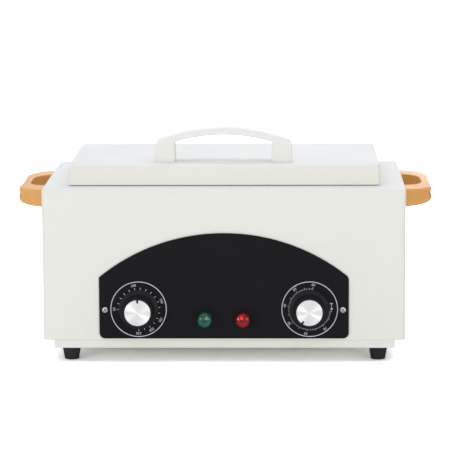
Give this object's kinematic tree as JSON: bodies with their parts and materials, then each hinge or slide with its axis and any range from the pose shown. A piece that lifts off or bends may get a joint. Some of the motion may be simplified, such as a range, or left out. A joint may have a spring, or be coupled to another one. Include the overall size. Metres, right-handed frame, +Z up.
{
  "type": "sanitizing box",
  "caption": "Bench-top dry heat sanitizing box: painted steel case, hinged insulated lid over a stainless tank, side handles, thermostat and timer dials.",
  "frame": {"origin": "on the surface that the feet stand on, under the middle of the whole box", "axes": "+Z up, -Y towards the front with the control panel, +X to the right as seen from the front"},
  "size_m": [0.3572, 0.2004, 0.1965],
  "materials": {
    "white_paint": "satin off-white powder coat",
    "panel_black": "matt black screen-printed plate",
    "stainless": "brushed stainless sheet",
    "zinc_steel": "zinc-plated steel",
    "spun_aluminium": "spun with fine concentric lines",
    "white_plastic": "semi-gloss moulded plastic",
    "amber_plastic": "glossy moulded phenolic",
    "black_plastic": "semi-matt moulded plastic",
    "rubber": "matt black rubber",
    "brass": "turned brass",
    "copper": "drawn copper tube",
    "wool": "matt mineral wool",
    "heater_mica": "pressed mica board",
    "ceramic": "unglazed steatite",
    "green_lens": "clear green moulding",
    "red_lens": "clear red moulding",
    "glass_sleeve": "braided glass fibre sleeve"
  },
  "bodies": {
    "case": {"case_shell": "white_paint", "base_plate": "white_paint", "foot_front_left": "rubber", "foot_front_right": "rubber", "foot_rear_left": "rubber", "foot_rear_right": "rubber", "foot_screw_front_left": "zinc_steel", "foot_screw_front_right": "zinc_steel", "foot_screw_rear_left": "zinc_steel", "foot_screw_rear_right": "zinc_steel", "tank": "stainless", "instrument_tray": "stainless", "heater_plate": "heater_mica", "heater_nut_left": "brass", "heater_nut_right": "brass", "insulation_blanket": "wool", "heat_shield": "zinc_steel", "hinge_case_leaf_left": "zinc_steel", "hinge_case_leaf_right": "zinc_steel", "hinge_pin_left": "stainless", "hinge_pin_right": "stainless", "side_handle_left": "amber_plastic", "side_handle_right": "amber_plastic", "side_handle_screw_front_left": "zinc_steel", "side_handle_screw_rear_left": "zinc_steel", "side_handle_screw_front_right": "zinc_steel", "side_handle_screw_rear_right": "zinc_steel", "control_panel": "panel_black", "panel_screw_left": "zinc_steel", "panel_screw_right": "zinc_steel", "thermostat_body": "ceramic", "thermostat_nut": "brass", "thermostat_capillary": "copper", "timer_body": "black_plastic", "timer_nut": "brass", "indicator_lamp_green": "green_lens", "indicator_lamp_red": "red_lens", "power_inlet": "black_plastic", "inlet_pin_line": "brass", "inlet_pin_earth": "brass", "inlet_pin_neutral": "brass", "terminal_block": "ceramic", "inlet_leads": "glass_sleeve", "heater_leads": "glass_sleeve", "timer_leads": "glass_sleeve", "thermostat_leads": "glass_sleeve"},
    "lid": {"lid_shell": "white_paint", "lid_liner": "stainless", "lid_insulation": "wool", "lid_handle": "white_plastic", "lid_handle_screw_left": "zinc_steel", "lid_handle_screw_right": "zinc_steel", "hinge_lid_leaf_left": "zinc_steel", "hinge_lid_leaf_right": "zinc_steel"},
    "temperature_dial": {"temperature_knob": "black_plastic", "temperature_knob_cap": "spun_aluminium", "temperature_spindle": "zinc_steel"},
    "timer_dial": {"timer_knob": "black_plastic", "timer_knob_cap": "spun_aluminium", "timer_spindle": "zinc_steel"}
  },
  "joints": [
    {"name": "lid_hinge", "type": "hinge", "parent": "case", "child": "lid", "pos_m": [0, 0.08735, 0.1526], "axis": [-1, 0, 0], "range_deg": [0, 100]},
    {"name": "temperature_turn", "type": "hinge", "parent": "case", "child": "temperature_dial", "pos_m": [-0.0725, -0.0828, 0.0468], "axis": [0, -1, 0], "range_deg": [-180, 90]},
    {"name": "timer_turn", "type": "hinge", "parent": "case", "child": "timer_dial", "pos_m": [0.0725, -0.0828, 0.0468], "axis": [0, -1, 0], "range_deg": [-154, 138]}
  ]
}
